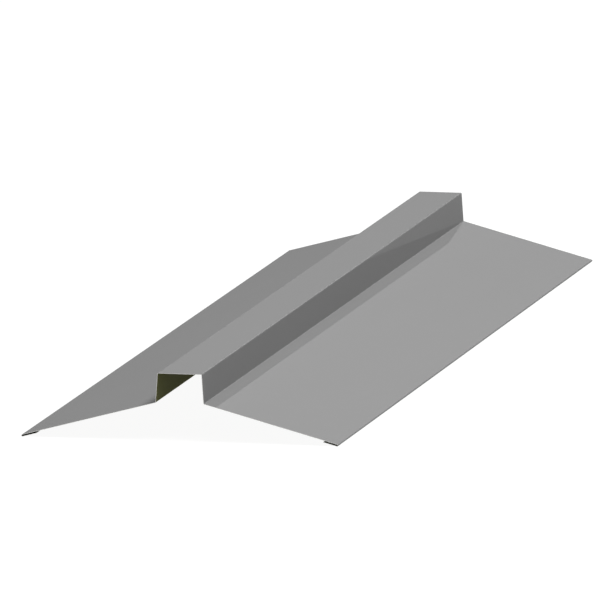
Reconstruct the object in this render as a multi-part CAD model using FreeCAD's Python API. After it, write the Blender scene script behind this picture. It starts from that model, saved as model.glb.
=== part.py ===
import FreeCAD, Part
import math
import os

# A roof ridge cap, folded from one strip of coated steel sheet. A flat crown stands on two
# walls that lean in a little, a wing falls away on each side, and the outer edge of each
# wing is folded back under itself as an open hem.
#
# The cut end of the strip is drawn fold by fold, as it is bent, and then given its length.
# X runs across the cap, Y along it and Z up. The origin is at mid-length and mid-width, level
# with the lowest lines of the two hem folds, which the cap lies on.

# Sizes across the section, in millimetres, all taken on the weather face
CROWN_WIDTH = 70.0
WALL_HEIGHT = 46.0
WING_WIDTH = 220.0
HEM_WIDTH = 24.0

# How far each wall leans in from plumb and each wing falls below level, in degrees
WALL_LEAN = 4.0
WING_PITCH = 15.0

# Length of the cap
LENGTH = 2000.0

# The sheet, the inside radius of an ordinary bend, and the clear space inside a hem
SHEET = 0.5
BEND_RADIUS = 1.0
HEM_GAP = 2.4

# What follows from those sizes: the turn at each fold, in degrees, and the radius there on
# the weather face, which is outside the bend at the crown and the hems and inside it at a
# wall's foot
RIGHT_ANGLE = 90.0
HEM_TURN = 2 * RIGHT_ANGLE
CROWN_TURN = RIGHT_ANGLE - WALL_LEAN
FOOT_TURN = CROWN_TURN - WING_PITCH
HEM_RADIUS = HEM_GAP / 2 + SHEET
CROWN_RADIUS = BEND_RADIUS + SHEET
FOOT_RADIUS = BEND_RADIUS

ACROSS = FreeCAD.Vector(1, 0, 0)
ALONG = FreeCAD.Vector(0, 1, 0)


def turned(arm, turn):
    """An arm in the plane of the section, turned anticlockwise as seen from the near end."""
    return FreeCAD.Rotation(-ALONG, turn).multVec(arm)


def pointing(slope):
    """The unit vector that rises to the right at the given slope, in degrees."""
    return turned(ACROSS, slope)


def arc_about(centre, start, turn):
    """The arc that starts at a point and turns about a centre."""
    arm = start - centre
    middle = centre + turned(arm, turn / 2)
    return Part.Arc(start, middle, centre + turned(arm, turn)).toShape()


def setback(radius, turn):
    """The length that a bend takes from the flat beside it, up to their sharp corner."""
    return radius * math.tan(math.radians(turn) / 2)


class Strip:
    """The cut end of a sheet, walked from one lip to the other.

    The weather face is on the left of the walk and the back face one sheet to the right.
    Both are drawn at once. A bend with a positive turn goes to the left.
    """

    def __init__(self, start, slope):
        self.at = start
        self.slope = slope
        self.weather = []
        self.back = []
        self.start_lip = self.lip()

    def behind(self):
        """The point of the back face that lies behind the point reached on the weather face."""
        return self.at + pointing(self.slope - RIGHT_ANGLE) * SHEET

    def lip(self):
        """The square cut through the sheet at the point reached."""
        return Part.makeLine(self.at, self.behind())

    def flat(self, length):
        """Draws a flat of the given length, straight on."""
        step = pointing(self.slope) * length
        self.weather.append(Part.makeLine(self.at, self.at + step))
        self.back.append(Part.makeLine(self.behind(), self.behind() + step))
        self.at = self.at + step

    def bend(self, turn, radius):
        """Draws a bend of the given turn, with its radius on the weather face."""
        side = math.copysign(RIGHT_ANGLE, turn)
        centre = self.at + pointing(self.slope + side) * radius
        self.weather.append(arc_about(centre, self.at, turn))
        self.back.append(arc_about(centre, self.behind(), turn))
        self.at = centre + turned(self.at - centre, turn)
        self.slope += turn

    def outline(self):
        """The closed wire round the strip as walked so far."""
        return Part.Wire([self.start_lip, *self.weather, self.lip(), *self.back[::-1]])


def left_lip():
    """The free edge of the left hem on the weather face, worked out from the section's middle."""
    foot = CROWN_WIDTH / 2 + WALL_HEIGHT * math.tan(math.radians(WALL_LEAN))
    up_wing = pointing(WING_PITCH)
    out_of_wing = pointing(WING_PITCH + RIGHT_ANGLE)
    fold_to_foot = up_wing * (WING_WIDTH - HEM_RADIUS) + out_of_wing * HEM_RADIUS
    fold_centre = FreeCAD.Vector(-foot - fold_to_foot.x, -LENGTH / 2, HEM_RADIUS)
    return fold_centre - out_of_wing * HEM_RADIUS + up_wing * (HEM_WIDTH - HEM_RADIUS)


def cap_section():
    """The closed wire of the cap's cut end, walked from the left hem over the crown."""
    hem = HEM_WIDTH - HEM_RADIUS
    wing = WING_WIDTH - HEM_RADIUS - setback(FOOT_RADIUS, FOOT_TURN)
    wall = WALL_HEIGHT / math.cos(math.radians(WALL_LEAN))
    wall -= setback(FOOT_RADIUS, FOOT_TURN) + setback(CROWN_RADIUS, CROWN_TURN)
    crown = CROWN_WIDTH - 2 * setback(CROWN_RADIUS, CROWN_TURN)

    strip = Strip(left_lip(), WING_PITCH + HEM_TURN)
    strip.flat(hem)
    strip.bend(-HEM_TURN, HEM_RADIUS)
    strip.flat(wing)
    strip.bend(FOOT_TURN, FOOT_RADIUS)
    strip.flat(wall)
    strip.bend(-CROWN_TURN, CROWN_RADIUS)
    strip.flat(crown)
    strip.bend(-CROWN_TURN, CROWN_RADIUS)
    strip.flat(wall)
    strip.bend(FOOT_TURN, FOOT_RADIUS)
    strip.flat(wing)
    strip.bend(-HEM_TURN, HEM_RADIUS)
    strip.flat(hem)
    return strip.outline()


def ridge_cap():
    """The whole cap, one sheet thick, as one solid."""
    return Part.Face(cap_section()).extrude(ALONG * LENGTH)


os.makedirs("parts", exist_ok=True)
cap = ridge_cap()
cap.exportStep("parts/ridge_cap.step")

box = cap.BoundBox
flat_width = cap.Volume / LENGTH / SHEET
print(f"ridge cap {box.XLength:.1f} x {box.YLength:.1f} x {box.ZLength:.1f} mm")
print(f"lowest line at {box.ZMin:.3f} mm, strip {flat_width:.1f} mm wide before folding")
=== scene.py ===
import logging
import math
from dataclasses import dataclass, field
from enum import Enum, IntEnum
from typing import Any, ClassVar, Sequence

import bmesh
import bpy
from mathutils import Matrix, Vector


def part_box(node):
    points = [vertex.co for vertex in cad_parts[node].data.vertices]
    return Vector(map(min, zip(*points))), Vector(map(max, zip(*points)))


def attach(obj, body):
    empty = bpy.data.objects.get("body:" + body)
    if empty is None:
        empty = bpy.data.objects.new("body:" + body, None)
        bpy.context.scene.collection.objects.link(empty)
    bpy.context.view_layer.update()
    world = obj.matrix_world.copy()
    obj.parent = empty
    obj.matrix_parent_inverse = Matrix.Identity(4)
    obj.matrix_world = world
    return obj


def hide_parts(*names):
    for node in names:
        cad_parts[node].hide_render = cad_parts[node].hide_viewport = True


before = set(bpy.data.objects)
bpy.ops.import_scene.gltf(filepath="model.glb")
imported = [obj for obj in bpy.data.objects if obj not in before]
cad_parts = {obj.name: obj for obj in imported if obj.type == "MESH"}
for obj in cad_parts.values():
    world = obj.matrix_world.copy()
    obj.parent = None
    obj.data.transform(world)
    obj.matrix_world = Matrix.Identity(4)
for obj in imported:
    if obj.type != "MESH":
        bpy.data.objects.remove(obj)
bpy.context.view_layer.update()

# The looks of a roof ridge cap folded from one sheet of coated steel: a glossy grey coat on
# its weather face, an olive coat on its back, and bare metal on its cut edges.
# Lengths are in metres and angles in degrees. X runs across the cap, Y along it and Z up.

LOG = logging.getLogger("ridge_cap")
BODY = "root"
CAD_NODE = "ridge_cap"

MILLIMETRE = 0.001
RIGHT_ANGLE = 90.0
ALONG = Vector((0.0, 1.0, 0.0))
WHITE = (1.0, 1.0, 1.0, 1.0)
NOISE_MEAN = 0.5
PLAIN_VALUE = "NodeSocketFloat"

Colour = tuple[float, float, float]
Socket = bpy.types.NodeSocket
Drawing = bmesh.types.BMesh
Point = bmesh.types.BMVert


class Face(IntEnum):
    """The three surfaces of the sheet, in the order of its material slots."""

    WEATHER = 0
    BACK = 1
    CUT = 2


class Reach(Enum):
    """What a light of the studio is seen by."""

    EVERYTHING = "everything but the camera"
    GLOSS_ONLY = "reflections alone"


def heading(slope: float) -> Vector:
    """Finds a direction in the plane of the section.

    Args:
        slope: How steeply it rises to the right.

    Returns:
        The unit vector.
    """
    return Vector((math.cos(math.radians(slope)), 0.0, math.sin(math.radians(slope))))


def direction(azimuth: float, elevation: float) -> Vector:
    """Finds the direction from the cap towards something that stands round it.

    Args:
        azimuth: Its direction on the plan, with 0 in front and 90 on the right.
        elevation: Its height above the horizon.

    Returns:
        The unit vector.
    """
    a, e = math.radians(azimuth), math.radians(elevation)
    return Vector((math.sin(a) * math.cos(e), -math.cos(a) * math.cos(e), math.sin(e)))


@dataclass(frozen=True)
class Pattern:
    """A noise that varies a finish.

    Attributes:
        scale: Lumps in each metre.
        detail: Its octaves.
        rough: How much each finer octave counts.
        stretch: By how much the scale grows along each axis. Small values draw the lumps out.
    """

    scale: float
    detail: float = 2.0
    rough: float = 0.5
    stretch: tuple[float, float, float] = (1.0, 1.0, 1.0)


class Wiring:
    """Adds nodes to one node tree and links them, with short calls.

    Attributes:
        tree: The node tree that nodes are added to.
    """

    def __init__(self, tree: bpy.types.NodeTree) -> None:
        """Empties a node tree and keeps it.

        Args:
            tree: The node tree.
        """
        self.tree = tree
        self.tree.nodes.clear()

    def set(self, target: Socket, value: Any) -> None:
        """Links a socket, or sets its value if it isn't given a socket.

        Args:
            target: The input socket.
            value: An output socket, or a plain value for the input.
        """
        if isinstance(value, Socket):
            self.tree.links.new(value, target)
        else:
            target.default_value = value

    def node(self, kind: str, settings: dict[str, Any] | None = None, **inputs: Any) -> bpy.types.Node:
        """Adds a node.

        Args:
            kind: The node's type name.
            settings: The node's own properties.
            **inputs: Its inputs by name, with _ for a space.

        Returns:
            The new node.
        """
        made = self.tree.nodes.new(kind)
        for name, value in (settings or {}).items():
            setattr(made, name, value)
        for name, value in inputs.items():
            self.set(made.inputs[name.replace("_", " ")], value)
        return made

    def place(self) -> Socket:
        """Adds the coordinates of the piece itself, in metres."""
        return self.node("ShaderNodeTexCoord").outputs["Object"]

    def math(self, operation: str, a: Any, b: Any = 0.0, c: Any = 0.0) -> Socket:
        """Adds a Math node.

        Args:
            operation: Its operation.
            a: The first value.
            b: The second value.
            c: The third value, for operations that take three.

        Returns:
            The node's output.
        """
        made = self.node("ShaderNodeMath", {"operation": operation})
        for socket, value in zip(made.inputs, (a, b, c)):
            self.set(socket, value)
        return made.outputs["Value"]

    def span(self, value: Socket, low: Any, high: Any, to_low: Any, to_high: Any) -> Socket:
        """Maps a span of a value smoothly to another.

        Args:
            value: The value to map.
            low: Where the span starts.
            high: Where it ends.
            to_low: The result at and before its start.
            to_high: The result at and past its end.

        Returns:
            The mapped value.
        """
        made = self.node(
            "ShaderNodeMapRange",
            {"interpolation_type": "SMOOTHSTEP"},
            Value=value,
            From_Min=low,
            From_Max=high,
            To_Min=to_low,
            To_Max=to_high,
        )
        return made.outputs["Result"]

    def noise(self, place: Socket, pattern: Pattern) -> Socket:
        """Adds a noise texture.

        Args:
            place: The coordinates at which it is read.
            pattern: How it looks.

        Returns:
            The noise, about one half on the mean.
        """
        drawn = self.node("ShaderNodeMapping", Vector=place, Scale=pattern.stretch)
        made = self.node(
            "ShaderNodeTexNoise",
            Vector=drawn.outputs["Vector"],
            Scale=pattern.scale,
            Detail=pattern.detail,
            Roughness=pattern.rough,
        )
        return made.outputs["Fac"]

    def change(self, noise: Socket, reach: Any) -> Socket:
        """Turns a noise into a change of either sign.

        Args:
            noise: The noise.
            reach: How far apart the least and the greatest change may lie.

        Returns:
            The change, about nothing on the mean.
        """
        return self.math("MULTIPLY", self.math("SUBTRACT", noise, NOISE_MEAN), reach)

    def shaded(self, colour: Colour, shade: Socket) -> Socket:
        """Makes a colour lighter or darker.

        Args:
            colour: The colour.
            shade: The factor, 1 for the colour as it is.

        Returns:
            The shaded colour.
        """
        made = self.node("ShaderNodeVectorMath", {"operation": "SCALE"}, Vector=colour, Scale=shade)
        return made.outputs["Vector"]


def shader_group(
    name: str, inputs: dict[str, float], outputs: Sequence[str]
) -> tuple[Wiring, bpy.types.Node, bpy.types.Node]:
    """Starts a shader node group that takes and puts out plain values.

    Args:
        name: The group's name.
        inputs: Its inputs, with their defaults.
        outputs: Its outputs.

    Returns:
        The group's wiring, its input node and its output node.
    """
    tree = bpy.data.node_groups.new(name, "ShaderNodeTree")
    for label, default in inputs.items():
        socket = tree.interface.new_socket(label, in_out="INPUT", socket_type=PLAIN_VALUE)
        socket.default_value = default
    for label in outputs:
        tree.interface.new_socket(label, in_out="OUTPUT", socket_type=PLAIN_VALUE)
    wiring = Wiring(tree)
    return wiring, wiring.node("NodeGroupInput"), wiring.node("NodeGroupOutput")


@dataclass
class SurfaceEffects:
    """The shader groups that the sheet's coats share.

    Attributes:
        half_length: Half the sheet's length.
        patches: The slow change of shade along the coil.
        grain: The pigment's grain.
        skin: The waves that the coat's skin dried with.
        streaks: The slow change of gloss along the coil.
        ragged: The line to which the coat is chipped back from a sheared end.
        chip_width: How far from the end that line lies, on the mean.
        chip_clear: The share of that width that is bare. The coat fades in over the rest.
        mottle: The group of slow colour change, once built.
        peel: The group of the skin's relief, once built.
        chips: The group of the chipped margin, once built.
    """

    half_length: float
    patches: Pattern = Pattern(9.0, detail=3.0, stretch=(1.6, 0.35, 1.6))
    grain: Pattern = Pattern(2600.0, detail=1.0)
    skin: Pattern = Pattern(420.0, detail=1.0, stretch=(1.0, 0.6, 1.0))
    streaks: Pattern = Pattern(9.0, stretch=(40.0, 1.2, 40.0))
    ragged: Pattern = Pattern(2600.0, detail=3.0, rough=0.6)
    chip_width: float = 0.35 * MILLIMETRE
    chip_clear: float = 0.6
    mottle: bpy.types.NodeTree = field(init=False)
    peel: bpy.types.NodeTree = field(init=False)
    chips: bpy.types.NodeTree = field(init=False)

    def build(self) -> None:
        """Builds all three groups."""
        self.mottle = self._mottle()
        self.peel = self._peel()
        self.chips = self._chips()

    def _mottle(self) -> bpy.types.NodeTree:
        """Builds the change of shade, from slow patches and the pigment's grain.

        Returns:
            A group that puts out a factor about 1.
        """
        wiring, given, out = shader_group("coat_mottle", {"Patches": 0.02, "Grain": 0.01}, ["Factor"])
        place = wiring.place()
        slow = wiring.change(wiring.noise(place, self.patches), given.outputs["Patches"])
        fine = wiring.change(wiring.noise(place, self.grain), given.outputs["Grain"])
        wiring.set(out.inputs["Factor"], wiring.math("ADD", 1.0, wiring.math("ADD", slow, fine)))
        return wiring.tree

    def _peel(self) -> bpy.types.NodeTree:
        """Builds the fine relief and uneven gloss of a rolled-on coat, drawn out along the coil.

        Returns:
            A group that puts out a height, and a roughness about the one given.
        """
        wiring, given, out = shader_group(
            "coat_peel", {"Roughness": 0.1, "Wander": 0.02}, ["Height", "Roughness"]
        )
        place = wiring.place()
        wander = wiring.change(wiring.noise(place, self.streaks), given.outputs["Wander"])
        wiring.set(out.inputs["Height"], wiring.noise(place, self.skin))
        wiring.set(out.inputs["Roughness"], wiring.math("ADD", given.outputs["Roughness"], wander))
        return wiring.tree

    def _chips(self) -> bpy.types.NodeTree:
        """Builds the thin margin at the sheared ends where the shear's blade chipped the coat.

        Returns:
            A group that puts out a mask of bare metal.
        """
        wiring, given, out = shader_group("shear_chips", {"Width": self.chip_width}, ["Mask"])
        place = wiring.place()
        along = wiring.node("ShaderNodeSeparateXYZ", Vector=place).outputs["Y"]
        from_end = wiring.math("SUBTRACT", self.half_length, wiring.math("ABSOLUTE", along))
        uneven = wiring.math("DIVIDE", wiring.noise(place, self.ragged), NOISE_MEAN)
        width = wiring.math("MULTIPLY", uneven, given.outputs["Width"])
        bare = wiring.math("MULTIPLY", width, self.chip_clear)
        wiring.set(out.inputs["Mask"], wiring.span(from_end, bare, width, 1.0, 0.0))
        return wiring.tree


def new_material(name: str) -> tuple[bpy.types.Material, Wiring]:
    """Starts a material with nodes and an empty tree.

    Args:
        name: The material's name.

    Returns:
        The material and the wiring of its tree.
    """
    material = bpy.data.materials.new(name)
    material.use_nodes = True
    return material, Wiring(material.node_tree)


@dataclass(frozen=True)
class CoatFinish:
    """A coat baked on to the sheet at the mill.

    Attributes:
        name: The material's name.
        colour: Its colour.
        patches: How far its shade wanders, as a share.
        grain: How far its pigment's grain shows, as a share.
        roughness: How rough it is, small for a gloss.
        wander: How far the roughness wanders.
        mirror: The share of metallic lustre, which keeps an even reflection at low angles.
        gloss: The level of the clear binder's own reflection.
        peel: The height of its skin's relief.
        stretch: How much lighter it is where a bend has stretched it, as a share.
    """

    name: str
    colour: Colour
    patches: float
    grain: float
    roughness: float
    wander: float
    mirror: float
    gloss: float
    peel: float
    stretch: float

    def _colour(self, wiring: Wiring, effects: SurfaceEffects, bare: Colour) -> Socket:
        """Adds the coat's colour, with its mottle, its stretched bends and its chipped ends.

        Args:
            wiring: The material's wiring.
            effects: The shared shader groups.
            bare: The colour of the metal where the coat is chipped.

        Returns:
            The colour.
        """
        mottle = wiring.node(
            "ShaderNodeGroup", {"node_tree": effects.mottle}, Patches=self.patches, Grain=self.grain
        )
        bends = wiring.node("ShaderNodeAttribute", {"attribute_name": FoldedSheet.BEND_MARK})
        lighter = wiring.math("MULTIPLY_ADD", bends.outputs["Fac"], self.stretch, 1.0)
        shade = wiring.math("MULTIPLY", mottle.outputs["Factor"], lighter)
        chips = wiring.node("ShaderNodeGroup", {"node_tree": effects.chips})
        mixed = wiring.node("ShaderNodeMix", {"data_type": "RGBA"})
        wiring.set(mixed.inputs["Factor"], chips.outputs["Mask"])
        wiring.set(mixed.inputs["A"], wiring.shaded(self.colour, shade))
        wiring.set(mixed.inputs["B"], (*bare, 1.0))
        return mixed.outputs["Result"]

    def material(self, effects: SurfaceEffects, bare: Colour) -> bpy.types.Material:
        """Builds the coat's material.

        Args:
            effects: The shared shader groups.
            bare: The colour of the metal where the coat is chipped.

        Returns:
            The material.
        """
        made, wiring = new_material(self.name)
        peel = wiring.node(
            "ShaderNodeGroup", {"node_tree": effects.peel}, Roughness=self.roughness, Wander=self.wander
        )
        bump = wiring.node("ShaderNodeBump", Distance=self.peel, Height=peel.outputs["Height"])
        shader = wiring.node(
            "ShaderNodeBsdfPrincipled",
            Base_Color=self._colour(wiring, effects, bare),
            Metallic=self.mirror,
            Roughness=peel.outputs["Roughness"],
            Normal=bump.outputs["Normal"],
            Specular_IOR_Level=self.gloss,
        )
        wiring.node("ShaderNodeOutputMaterial", Surface=shader.outputs["BSDF"])
        return made


@dataclass(frozen=True)
class BareMetalFinish:
    """The sheared edge of the sheet: bright zinc and steel with the marks of the shear.

    Attributes:
        name: The material's name.
        colour: The metal's colour where the shear cut it clean.
        dull: Its share of that brightness where the metal tore instead.
        metallic: How metallic it is.
        roughness: Its roughness where it tore.
        smooth: Its share of that roughness where it was cut clean.
        marks: The marks of the shear.
        torn: The level of the marks up to which the metal is all torn.
        clean: The level past which it is all clean.
        depth: The marks' depth.
    """

    name: str
    colour: Colour
    dull: float
    metallic: float
    roughness: float
    smooth: float
    marks: Pattern
    torn: float
    clean: float
    depth: float

    def material(self) -> bpy.types.Material:
        """Builds the metal's material.

        Returns:
            The material.
        """
        made, wiring = new_material(self.name)
        marks = wiring.noise(wiring.place(), self.marks)
        shade = wiring.span(marks, self.torn, self.clean, self.dull, 1.0)
        rough = wiring.span(marks, self.torn, self.clean, self.roughness, self.roughness * self.smooth)
        bump = wiring.node("ShaderNodeBump", Distance=self.depth, Height=marks)
        shader = wiring.node(
            "ShaderNodeBsdfPrincipled",
            Base_Color=wiring.shaded(self.colour, shade),
            Metallic=self.metallic,
            Roughness=rough,
            Normal=bump.outputs["Normal"],
        )
        wiring.node("ShaderNodeOutputMaterial", Surface=shader.outputs["BSDF"])
        return made


@dataclass
class FoldedSheet:
    """The cap itself: one sheet, folded along its length.

    Attributes:
        NAME: The piece's name.
        BEND_MARK: The name of the attribute that is 1 on a bend and 0 on a flat.
        SHARP_ANGLE: The least angle between two facets that shows as a sharp edge.
        INWARDS: The side of the weather face on which the thickness lies.
        LARGE_FACES_LEAD: How much more the larger faces count in the shading, for even flats.
        length: Its length, taken from the CAD part's box.
        crown_width: Across the flat crown.
        wall_height: Upright height of each wall.
        wing_width: Along each wing's slope, from wall foot to outer edge.
        hem_width: Of the strip folded back under each wing.
        wall_lean: How far each wall leans in from plumb.
        wing_pitch: How far each wing falls below level.
        sheet: The sheet's thickness.
        bend_radius: Inside radius of an ordinary bend.
        hem_gap: Clear space inside a hem.
        bend_step: The largest turn between two facets of a bend.
        margin: Width of the facets beside each bend, over which its marks fade.
        facet_width: About how wide the facets between those margins are.
        rows: Facets along the cap.
        crown_turn: The turn of the bend at the crown's side, worked out.
        foot_turn: The turn of the bend at a wall's foot, worked out.
        hem_turn: The turn of a hem's fold, worked out.
        crown_radius: The radius of the crown's bend on the weather face, worked out.
        hem_radius: The radius of a hem's fold on the weather face, worked out.
    """

    NAME: ClassVar[str] = "folded_sheet"
    BEND_MARK: ClassVar[str] = "bend_mark"
    SHARP_ANGLE: ClassVar[float] = 40.0
    INWARDS: ClassVar[float] = -1.0
    LARGE_FACES_LEAD: ClassVar[int] = 100

    length: float
    crown_width: float = 70 * MILLIMETRE
    wall_height: float = 46 * MILLIMETRE
    wing_width: float = 220 * MILLIMETRE
    hem_width: float = 24 * MILLIMETRE
    wall_lean: float = 4.0
    wing_pitch: float = 15.0
    sheet: float = 0.5 * MILLIMETRE
    bend_radius: float = 1.0 * MILLIMETRE
    hem_gap: float = 2.4 * MILLIMETRE
    bend_step: float = 7.5
    margin: float = 1.5 * MILLIMETRE
    facet_width: float = 30 * MILLIMETRE
    rows: int = 40
    crown_turn: float = field(init=False)
    foot_turn: float = field(init=False)
    hem_turn: float = field(init=False)
    crown_radius: float = field(init=False)
    hem_radius: float = field(init=False)

    def __post_init__(self) -> None:
        """Works out the turns and the radii on the weather face from the sizes."""
        self.crown_turn = RIGHT_ANGLE - self.wall_lean
        self.foot_turn = self.crown_turn - self.wing_pitch
        self.hem_turn = 2 * RIGHT_ANGLE
        self.crown_radius = self.bend_radius + self.sheet
        self.hem_radius = self.hem_gap / 2 + self.sheet

    def _start(self) -> Vector:
        """Finds the weather face's point at the left hem's free edge, at the near end.

        Returns:
            The point where the walk over the section starts.
        """
        foot = self.crown_width / 2 + self.wall_height * math.tan(math.radians(self.wall_lean))
        up_wing = heading(self.wing_pitch)
        off_wing = heading(self.wing_pitch + RIGHT_ANGLE)
        fold_to_foot = up_wing * (self.wing_width - self.hem_radius) + off_wing * self.hem_radius
        fold = Vector((-foot - fold_to_foot.x, -self.length / 2, self.hem_radius))
        return fold - off_wing * self.hem_radius + up_wing * (self.hem_width - self.hem_radius)

    def _moves(self) -> list[tuple[float, float]]:
        """Lists the walk over the section, from the left hem's free edge to the right one's.

        Returns:
            Pairs of a flat's width and the turn of the bend after it, to the left if it is
            positive. The last flat has no bend after it.
        """
        foot_back = self.bend_radius * math.tan(math.radians(self.foot_turn) / 2)
        crown_back = self.crown_radius * math.tan(math.radians(self.crown_turn) / 2)
        hem = self.hem_width - self.hem_radius
        wing = self.wing_width - self.hem_radius - foot_back
        wall = self.wall_height / math.cos(math.radians(self.wall_lean)) - foot_back - crown_back
        crown = self.crown_width - 2 * crown_back
        left = [(hem, -self.hem_turn), (wing, self.foot_turn), (wall, -self.crown_turn)]
        right = [(wall, self.foot_turn), (wing, -self.hem_turn), (hem, 0.0)]
        return [*left, (crown, -self.crown_turn), *right]

    def _radius(self, turn: float) -> float:
        """Finds a bend's radius on the weather face, which lies inside it at a wall's foot alone.

        Args:
            turn: The bend's turn, to the left if it is positive.

        Returns:
            The radius.
        """
        if turn > 0:
            return self.bend_radius
        return self.hem_radius if abs(turn) == self.hem_turn else self.crown_radius

    def _flat(self, bm: Drawing, tip: Point, slope: float, width: float) -> Point:
        """Draws a flat's line, with a narrow facet beside the bend at each end.

        Args:
            bm: The mesh to draw in.
            tip: The end of the line so far.
            slope: The flat's slope.
            width: The flat's width.

        Returns:
            The new end of the line.
        """
        mark = bm.verts.layers.float[self.BEND_MARK]
        plain = width - 2 * self.margin
        pieces = max(1, round(plain / self.facet_width))
        for step in (self.margin, *[plain / pieces] * pieces, self.margin):
            tip = bmesh.ops.extrude_vert_indiv(bm, verts=[tip])["verts"][0]
            bmesh.ops.translate(bm, verts=[tip], vec=heading(slope) * step)
            tip[mark] = 0.0
        return tip

    def _bend(self, bm: Drawing, tip: Point, slope: float, turn: float) -> Point:
        """Draws a bend's line.

        Args:
            bm: The mesh to draw in.
            tip: The end of the line so far.
            slope: The slope of the flat before the bend.
            turn: The bend's turn, to the left if it is positive.

        Returns:
            The new end of the line.
        """
        mark = bm.verts.layers.float[self.BEND_MARK]
        tip[mark] = 1.0
        side = heading(slope + math.copysign(RIGHT_ANGLE, turn))
        spun = bmesh.ops.spin(
            bm,
            geom=[tip],
            cent=tip.co + side * self._radius(turn),
            axis=-ALONG,
            angle=math.radians(turn),
            steps=math.ceil(abs(turn) / self.bend_step),
            use_duplicate=False,
        )
        return next(g for g in spun["geom_last"] if isinstance(g, Point))

    def _section(self, bm: Drawing) -> None:
        """Draws the weather face's line at the near end, flat by flat and bend by bend.

        A point's bend mark is 1 on a bend and 0 on a flat. The points of a bend take theirs
        from the one that they are spun from.

        Args:
            bm: The mesh to draw in.
        """
        bm.verts.layers.float.new(self.BEND_MARK)
        tip = bmesh.ops.create_vert(bm, co=self._start())["vert"][0]
        slope = self.wing_pitch + self.hem_turn
        for width, turn in self._moves():
            tip = self._flat(bm, tip, slope, width)
            if turn:
                tip = self._bend(bm, tip, slope, turn)
                slope += turn

    def _surface(self) -> bpy.types.Mesh:
        """Draws the weather face as a sheet of no thickness.

        Returns:
            The mesh, with its faces towards the weather.
        """
        bm = bmesh.new()
        self._section(bm)
        across = bm.edges[:]
        drawn = bmesh.ops.extrude_edge_only(bm, edges=across)["geom"]
        far = [g for g in drawn if isinstance(g, Point)]
        bmesh.ops.translate(bm, verts=far, vec=ALONG * self.length)
        lengthwise = [e for e in bm.edges if abs(e.verts[0].co.y - e.verts[1].co.y) > self.length / 2]
        bmesh.ops.subdivide_edges(bm, edges=lengthwise, cuts=self.rows - 1, use_grid_fill=True)
        bm.normal_update()
        top = max(bm.faces, key=lambda f: f.calc_center_median().z)
        if top.normal.z < 0:
            bmesh.ops.reverse_faces(bm, faces=bm.faces[:])
        for face in bm.faces:
            face.smooth = True
        mesh = bpy.data.meshes.new(self.NAME)
        bm.to_mesh(mesh)
        bm.free()
        return mesh

    def _thickened(self, finishes: Sequence[bpy.types.Material]) -> bpy.types.Mesh:
        """Gives the weather face its thickness, with a finish on each surface.

        Args:
            finishes: The materials in the order of Face.

        Returns:
            The closed mesh of the sheet.
        """
        surface = self._surface()
        for finish in finishes:
            surface.materials.append(finish)
        drawing = bpy.data.objects.new(surface.name, surface)
        bpy.context.scene.collection.objects.link(drawing)
        thickness = drawing.modifiers.new("thickness", "SOLIDIFY")
        thickness.thickness = self.sheet
        thickness.offset = self.INWARDS
        thickness.use_even_offset = True
        thickness.material_offset = Face.BACK.value
        thickness.material_offset_rim = Face.CUT.value
        bpy.context.view_layer.update()
        solid = drawing.evaluated_get(bpy.context.evaluated_depsgraph_get())
        mesh = bpy.data.meshes.new_from_object(solid)
        bpy.data.objects.remove(drawing)
        bpy.data.meshes.remove(surface)
        mesh.name = self.NAME
        mesh.set_sharp_from_angle(angle=math.radians(self.SHARP_ANGLE))
        return mesh

    def build(self, finishes: Sequence[bpy.types.Material]) -> bpy.types.Object:
        """Builds the sheet and dresses it.

        Args:
            finishes: The materials in the order of Face.

        Returns:
            The finished piece.
        """
        piece = bpy.data.objects.new(self.NAME, self._thickened(finishes))
        bpy.context.scene.collection.objects.link(piece)
        flats = piece.modifiers.new("true_flats", "WEIGHTED_NORMAL")
        flats.keep_sharp = True
        flats.weight = self.LARGE_FACES_LEAD
        return piece


@dataclass(frozen=True)
class Softbox:
    """A flat soft lamp that faces the cap.

    Attributes:
        name: The lamp's name.
        azimuth: Its direction from the cap, with 0 in front and 90 on the right.
        elevation: Its height above the horizon.
        distance: How far it stands from the cap's middle.
        width: Its level side.
        height: Its other side.
        radiance: How bright its face is, where a white wall in full light is 1.
        reach: What it is seen by.
    """

    name: str
    azimuth: float
    elevation: float
    distance: float
    width: float
    height: float
    radiance: float
    reach: Reach = Reach.EVERYTHING

    def build(self, aim: Vector) -> bpy.types.Object:
        """Hangs the lamp.

        Args:
            aim: The point that it faces.

        Returns:
            The lamp.
        """
        lamp = bpy.data.lights.new(self.name, "AREA")
        lamp.shape = "RECTANGLE"
        lamp.size = self.width
        lamp.size_y = self.height
        lamp.energy = self.radiance * math.pi * self.width * self.height
        made = bpy.data.objects.new(self.name, lamp)
        bpy.context.scene.collection.objects.link(made)
        towards = direction(self.azimuth, self.elevation)
        turn = towards.to_track_quat("Z", "Y").to_matrix().to_4x4()
        made.matrix_world = Matrix.Translation(aim + towards * self.distance) @ turn
        made.visible_camera = False
        made.visible_diffuse = self.reach is not Reach.GLOSS_ONLY
        return made


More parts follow.
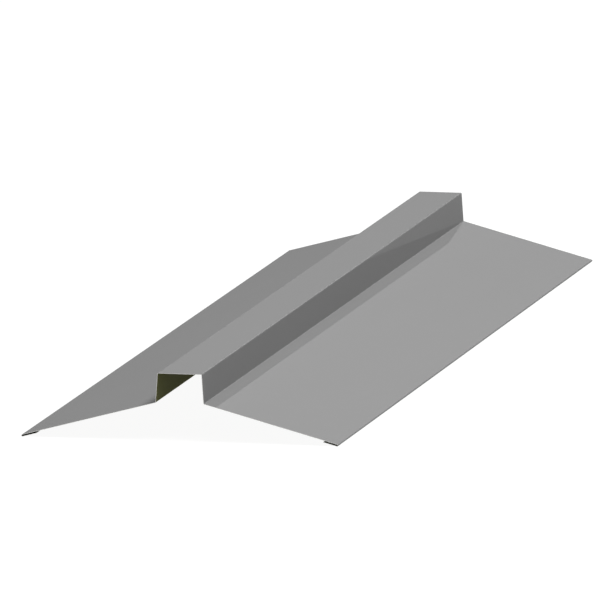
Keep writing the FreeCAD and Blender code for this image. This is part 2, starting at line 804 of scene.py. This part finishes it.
@dataclass
class Studio:
    """The plain pale floor, the white surround and the soft lamps.

    Attributes:
        FLOOR_NAME: The name of the floor and of its material.
        SURROUND_NAME: The world's name.
        aim: The point that the lamps face.
        floor_size: The floor's side.
        floor_pale: The floor's own lightness.
        floor_fill: The even glow by which it also lights the cap's underside, like a light table.
        floor_shade: The floor's lightness to the camera, and so how dark the cap's shadow may be.
        floor_glow: What the camera sees on top of that, so that the floor is white.
        floor_sheen: What reflections see on top of the floor's own light.
        air: The even light from all round.
        softboxes: The lamps.
    """

    FLOOR_NAME: ClassVar[str] = "studio_floor"
    SURROUND_NAME: ClassVar[str] = "studio_surround"

    aim: Vector
    floor_size: float = 60.0
    floor_pale: float = 0.4
    floor_fill: float = 0.2
    floor_shade: float = 0.12
    floor_glow: float = 0.74
    floor_sheen: float = 0.76
    air: float = 0.05
    softboxes: tuple[Softbox, ...] = (
        Softbox(
            name="front_box",
            azimuth=8.0,
            elevation=65.0,
            distance=14.0,
            width=10.0,
            height=8.0,
            radiance=1.56,
        ),
        Softbox(
            name="right_box",
            azimuth=90.0,
            elevation=70.0,
            distance=12.0,
            width=9.0,
            height=6.0,
            radiance=8.52,
        ),
        Softbox(
            name="wing_card",
            azimuth=186.1,
            elevation=15.5,
            distance=10.4,
            width=3.2,
            height=1.7,
            radiance=2.03,
            reach=Reach.GLOSS_ONLY,
        ),
        Softbox(
            name="crown_card",
            azimuth=191.9,
            elevation=8.5,
            distance=10.4,
            width=2.5,
            height=0.9,
            radiance=0.9,
            reach=Reach.GLOSS_ONLY,
        ),
    )

    @staticmethod
    def _rays(wiring: Wiring) -> tuple[Socket, Socket]:
        """Adds the masks of the rays to which the studio may look white.

        Args:
            wiring: The wiring of the floor's material or the world.

        Returns:
            The mask of the camera's rays, and of those by which gloss and glass see.
        """
        path = wiring.node("ShaderNodeLightPath").outputs
        gloss = wiring.math("MAXIMUM", path["Is Glossy Ray"], path["Is Transmission Ray"])
        return path["Is Camera Ray"], gloss

    def _floor_material(self) -> bpy.types.Material:
        """Builds the floor's finish, which is clear from below.

        Returns:
            The material.
        """
        made, wiring = new_material(self.FLOOR_NAME)
        camera, gloss = self._rays(wiring)
        pale = wiring.span(camera, 0.0, 1.0, self.floor_pale, self.floor_shade)
        plain = wiring.node("ShaderNodeBsdfDiffuse", Color=pale)
        unseen = wiring.math("MULTIPLY_ADD", gloss, self.floor_sheen, self.floor_fill)
        strength = wiring.math("MULTIPLY_ADD", camera, self.floor_glow, unseen)
        glow = wiring.node("ShaderNodeEmission", Strength=strength)
        above = wiring.node("ShaderNodeAddShader")
        wiring.set(above.inputs[0], plain.outputs["BSDF"])
        wiring.set(above.inputs[1], glow.outputs["Emission"])
        below = wiring.node("ShaderNodeBsdfTransparent")
        sides = wiring.node("ShaderNodeMixShader")
        wiring.set(sides.inputs[0], wiring.node("ShaderNodeNewGeometry").outputs["Backfacing"])
        wiring.set(sides.inputs[1], above.outputs["Shader"])
        wiring.set(sides.inputs[2], below.outputs["BSDF"])
        wiring.node("ShaderNodeOutputMaterial", Surface=sides.outputs["Shader"])
        return made

    def _floor(self) -> bpy.types.Object:
        """Lays the floor.

        Returns:
            The floor.
        """
        bm = bmesh.new()
        bmesh.ops.create_grid(bm, x_segments=1, y_segments=1, size=self.floor_size / 2)
        mesh = bpy.data.meshes.new(self.FLOOR_NAME)
        bm.to_mesh(mesh)
        bm.free()
        mesh.materials.append(self._floor_material())
        made = bpy.data.objects.new(self.FLOOR_NAME, mesh)
        bpy.context.scene.collection.objects.link(made)
        return made

    def _surround(self) -> None:
        """Sets the world: white where it is seen, and the even light from all round."""
        world = bpy.data.worlds.new(self.SURROUND_NAME)
        world.use_nodes = True
        wiring = Wiring(world.node_tree)
        seen = wiring.math("MAXIMUM", *self._rays(wiring))
        strength = wiring.span(seen, 0.0, 1.0, self.air, 1.0)
        sky = wiring.node("ShaderNodeBackground", Color=WHITE, Strength=strength)
        wiring.node("ShaderNodeOutputWorld", Surface=sky.outputs["Background"])
        bpy.context.scene.world = world

    def build(self) -> bpy.types.Object:
        """Builds the surround, the lamps and the floor.

        Returns:
            The floor.
        """
        self._surround()
        for box in self.softboxes:
            box.build(self.aim)
        return self._floor()


@dataclass(frozen=True)
class PhotoCamera:
    """A camera with a very long lens, which shows the cap as the photograph does.

    Attributes:
        NAME: The camera's name.
        NEAREST: How near it starts to see.
        FARTHEST: How far it sees, in times its distance from the cap's middle.
        azimuth: Its direction from the cap.
        elevation: Its height above the horizon.
        distance: How far it stands from the cap's middle.
        sensor: Its sensor's width, in millimetres.
        lens: Its focal length, in millimetres.
        right: How far right of the picture's centre the walls' feet show at mid-length.
        down: How far below the centre they show.
    """

    NAME: ClassVar[str] = "photo_camera"
    NEAREST: ClassVar[float] = 1.0
    FARTHEST: ClassVar[float] = 3.0

    azimuth: float = 11.892
    elevation: float = 8.482
    distance: float = 43.78
    sensor: float = 36.0
    lens: float = 1620.0
    right: float = 7.64 * MILLIMETRE
    down: float = 2.73 * MILLIMETRE

    def build(self, feet: Vector) -> bpy.types.Object:
        """Sets up the camera and makes it the scene's own.

        Args:
            feet: The point at mid-length and mid-width, level with the walls' feet.

        Returns:
            The camera.
        """
        data = bpy.data.cameras.new(self.NAME)
        data.sensor_width = self.sensor
        data.lens = self.lens
        data.clip_start = self.NEAREST
        data.clip_end = self.FARTHEST * self.distance
        made = bpy.data.objects.new(self.NAME, data)
        bpy.context.scene.collection.objects.link(made)
        back = direction(self.azimuth, self.elevation)
        turn = back.to_track_quat("Z", "Y").to_matrix()
        centre = feet - turn.col[0] * self.right + turn.col[1] * self.down
        made.matrix_world = Matrix.Translation(centre + back * self.distance) @ turn.to_4x4()
        bpy.context.scene.camera = made
        return made


WEATHER_COAT = CoatFinish(
    name="grey_weather_coat",
    colour=(0.25, 0.25, 0.25),
    patches=0.03,
    grain=0.04,
    roughness=0.028,
    wander=0.01,
    mirror=0.051,
    gloss=0.0,
    peel=0.0005 * MILLIMETRE,
    stretch=0.05,
)
BACK_COAT = CoatFinish(
    name="olive_back_coat",
    colour=(0.184, 0.188, 0.073),
    patches=0.08,
    grain=0.06,
    roughness=0.55,
    wander=0.06,
    mirror=0.0,
    gloss=0.005,
    peel=0.003 * MILLIMETRE,
    stretch=0.05,
)
CUT_METAL = BareMetalFinish(
    name="sheared_metal",
    colour=(0.72, 0.715, 0.69),
    dull=0.75,
    metallic=0.6,
    roughness=0.5,
    smooth=0.7,
    marks=Pattern(4000.0, detail=3.0, rough=0.6),
    torn=0.3,
    clean=0.7,
    depth=0.02 * MILLIMETRE,
)


def main() -> None:
    """Builds the dressed cap, the studio and the camera, in that order."""
    logging.basicConfig(level=logging.INFO, format="%(name)s: %(message)s")
    low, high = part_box(CAD_NODE)
    length = high.y - low.y

    effects = SurfaceEffects(half_length=length / 2)
    effects.build()
    finishes = {
        Face.WEATHER: WEATHER_COAT.material(effects, CUT_METAL.colour),
        Face.BACK: BACK_COAT.material(effects, CUT_METAL.colour),
        Face.CUT: CUT_METAL.material(),
    }
    sheet = FoldedSheet(length=length)
    piece = sheet.build([finishes[face] for face in Face])
    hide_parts(CAD_NODE)
    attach(piece, BODY)
    LOG.info("%s: %d faces", piece.name, len(piece.data.polygons))

    feet = Vector((0.0, 0.0, high.z - sheet.wall_height))
    studio = Studio(aim=feet)
    floor = studio.build()
    LOG.info("%s: %.0f m square", floor.name, studio.floor_size)
    camera = PhotoCamera().build(feet)
    LOG.info("%s: %.0f mm lens", camera.name, camera.data.lens)

    bpy.context.scene.view_settings.view_transform = "Standard"


if __name__ == "__main__":
    main()
